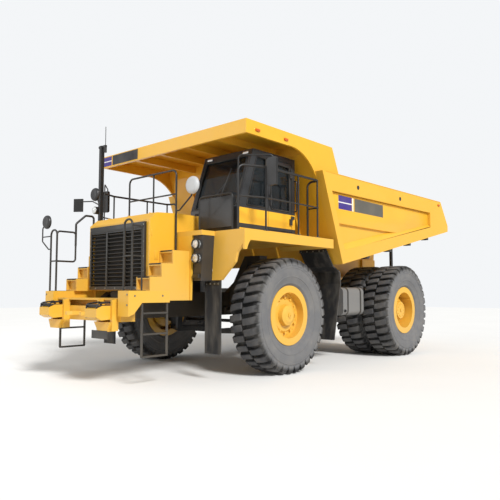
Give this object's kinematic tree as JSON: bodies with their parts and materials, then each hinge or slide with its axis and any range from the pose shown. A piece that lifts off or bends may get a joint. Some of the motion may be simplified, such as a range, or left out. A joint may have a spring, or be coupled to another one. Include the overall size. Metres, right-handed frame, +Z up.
{
  "type": "mining dump truck",
  "caption": "Rigid mining dump truck with steered front wheels, twin rear wheels, a cab with an opening door and a dump body raised by two-stage hoist cylinders.",
  "frame": {"origin": "on the ground under the middle of the truck's bounding box", "axes": "-Y is the front of the truck, +X its left side, +Z up"},
  "size_m": [5.08, 10.06, 4.8998],
  "materials": {
    "yellow_paint": "satin machine paint",
    "black_paint": "semi-gloss",
    "grey_paint": "satin",
    "tank_paint": "satin",
    "tyre_rubber": "worn",
    "flap_rubber": "matte",
    "hoist_steel": "polished rod",
    "chassis_steel": "painted casting",
    "window_glass": "tinted",
    "lamp_lens": "clear",
    "cab_trim": "grained",
    "seat_cloth": "woven"
  },
  "bodies": {
    "chassis": {"bulkheads": "yellow_paint", "cab_controls": "cab_trim", "cab_glass": "window_glass", "cab_seat": "seat_cloth", "cab_shell": "black_paint", "deck_centre": "yellow_paint", "decks": "yellow_paint", "driveline": "chassis_steel", "engine": "chassis_steel", "front_bumper": "yellow_paint", "front_steps": "yellow_paint", "front_suspension": "chassis_steel", "fuel_tank": "tank_paint", "grille": "black_paint", "grille_rail": "black_paint", "guardrails": "black_paint", "headlamps": "lamp_lens", "hood": "yellow_paint", "hydraulic_tank": "tank_paint", "ladders": "tank_paint", "lamp_panels": "grey_paint", "main_frame": "black_paint", "mast": "black_paint", "mirrors": "black_paint", "mudflaps": "flap_rubber", "rear_axle": "chassis_steel", "rear_suspension": "chassis_steel", "steering_barrels": "black_paint", "step_rails": "black_paint"},
    "dump_body": {"body_floor": "yellow_paint", "body_sills": "yellow_paint", "body_sides": "yellow_paint", "body_front_wall": "yellow_paint", "canopy": "yellow_paint", "rock_ejectors": "chassis_steel"},
    "cab_door": {"cab_door": "black_paint", "cab_door_glass": "window_glass"},
    "tie_rod": {"tie_rod": "chassis_steel"},
    "knuckle_left": {"knuckle_left": "chassis_steel"},
    "front_wheel_left": {"front_tyre_left": "tyre_rubber", "front_rim_left": "yellow_paint"},
    "rear_wheels_left": {"rear_tyres_left": "tyre_rubber", "rear_rims_left": "yellow_paint"},
    "steering_rod_left": {"steering_rod_left": "hoist_steel"},
    "hoist_barrel_left": {"hoist_barrel_left": "black_paint"},
    "hoist_stage_left": {"hoist_stage_left": "hoist_steel"},
    "hoist_rod_left": {"hoist_rod_left": "hoist_steel"},
    "knuckle_right": {"knuckle_right": "chassis_steel"},
    "front_wheel_right": {"front_tyre_right": "tyre_rubber", "front_rim_right": "yellow_paint"},
    "rear_wheels_right": {"rear_tyres_right": "tyre_rubber", "rear_rims_right": "yellow_paint"},
    "steering_rod_right": {"steering_rod_right": "hoist_steel"},
    "hoist_barrel_right": {"hoist_barrel_right": "black_paint"},
    "hoist_stage_right": {"hoist_stage_right": "hoist_steel"},
    "hoist_rod_right": {"hoist_rod_right": "hoist_steel"}
  },
  "joints": [
    {"name": "steer_left", "type": "hinge", "parent": "chassis", "child": "knuckle_left", "pos_m": [1.23, -1.65, 1.07], "axis": [0, 0, 1], "range_deg": [-36, 36]},
    {"name": "steer_right", "type": "hinge", "parent": "chassis", "child": "knuckle_right", "pos_m": [-1.23, -1.65, 1.07], "axis": [0, 0, 1], "range_deg": [-36, 36]},
    {"name": "tie_rod_turn", "type": "hinge", "parent": "knuckle_left", "child": "tie_rod", "pos_m": [1.23, -1.27, 0.898], "axis": [0, 0, 1], "range_deg": [-36, 36]},
    {"name": "front_wheel_left", "type": "hinge", "parent": "knuckle_left", "child": "front_wheel_left", "pos_m": [1.7575, -1.65, 1.07], "axis": [1, 0, 0], "continuous": true},
    {"name": "front_wheel_right", "type": "hinge", "parent": "knuckle_right", "child": "front_wheel_right", "pos_m": [-1.7575, -1.65, 1.07], "axis": [1, 0, 0], "continuous": true},
    {"name": "rear_wheels_left", "type": "hinge", "parent": "chassis", "child": "rear_wheels_left", "pos_m": [1.54, 2.65, 1.07], "axis": [1, 0, 0], "continuous": true},
    {"name": "rear_wheels_right", "type": "hinge", "parent": "chassis", "child": "rear_wheels_right", "pos_m": [-1.54, 2.65, 1.07], "axis": [1, 0, 0], "continuous": true},
    {"name": "steering_rod_left", "type": "slide", "parent": "chassis", "child": "steering_rod_left", "axis": [1, 0, 0], "range_m": [-0.12, 0.12]},
    {"name": "steering_rod_right", "type": "slide", "parent": "chassis", "child": "steering_rod_right", "axis": [1, 0, 0], "range_m": [-0.12, 0.12]},
    {"name": "body_lift", "type": "hinge", "parent": "chassis", "child": "dump_body", "pos_m": [0, 3.685, 1.78], "axis": [-1, 0, 0], "range_deg": [0, 48]},
    {"name": "hoist_swing_left", "type": "hinge", "parent": "chassis", "child": "hoist_barrel_left", "pos_m": [0.735, 1.155, 0.8], "axis": [-1, 0, 0], "range_deg": [0, 24.1]},
    {"name": "hoist_stage_left", "type": "slide", "parent": "hoist_barrel_left", "child": "hoist_stage_left", "axis": [0, -0.1348, 0.9909], "range_m": [0, 1.02]},
    {"name": "hoist_rod_left", "type": "slide", "parent": "hoist_stage_left", "child": "hoist_rod_left", "axis": [0, -0.1348, 0.9909], "range_m": [0, 1.02]},
    {"name": "hoist_swing_right", "type": "hinge", "parent": "chassis", "child": "hoist_barrel_right", "pos_m": [-0.735, 1.155, 0.8], "axis": [-1, 0, 0], "range_deg": [0, 24.1]},
    {"name": "hoist_stage_right", "type": "slide", "parent": "hoist_barrel_right", "child": "hoist_stage_right", "axis": [0, -0.1348, 0.9909], "range_m": [0, 1.02]},
    {"name": "hoist_rod_right", "type": "slide", "parent": "hoist_stage_right", "child": "hoist_rod_right", "axis": [0, -0.1348, 0.9909], "range_m": [0, 1.02]},
    {"name": "cab_door", "type": "hinge", "parent": "chassis", "child": "cab_door", "pos_m": [1.82, -1.336, 3.3], "axis": [0, 0, 1], "range_deg": [0, 35]}
  ],
  "couplings": [
    {"joint": "steer_right", "follows": "steer_left", "ratio": 1},
    {"joint": "tie_rod_turn", "follows": "steer_left", "ratio": -1},
    {"joint": "steering_rod_left", "follows": "steer_left", "m_per_rad": 0.1871},
    {"joint": "steering_rod_right", "follows": "steer_left", "m_per_rad": 0.1871},
    {"joint": "hoist_swing_left", "follows": "body_lift", "ratio": 0.5},
    {"joint": "hoist_stage_left", "follows": "body_lift", "m_per_rad": 1.2163},
    {"joint": "hoist_rod_left", "follows": "body_lift", "m_per_rad": 1.2163},
    {"joint": "hoist_swing_right", "follows": "body_lift", "ratio": 0.5},
    {"joint": "hoist_stage_right", "follows": "body_lift", "m_per_rad": 1.2163},
    {"joint": "hoist_rod_right", "follows": "body_lift", "m_per_rad": 1.2163}
  ]
}
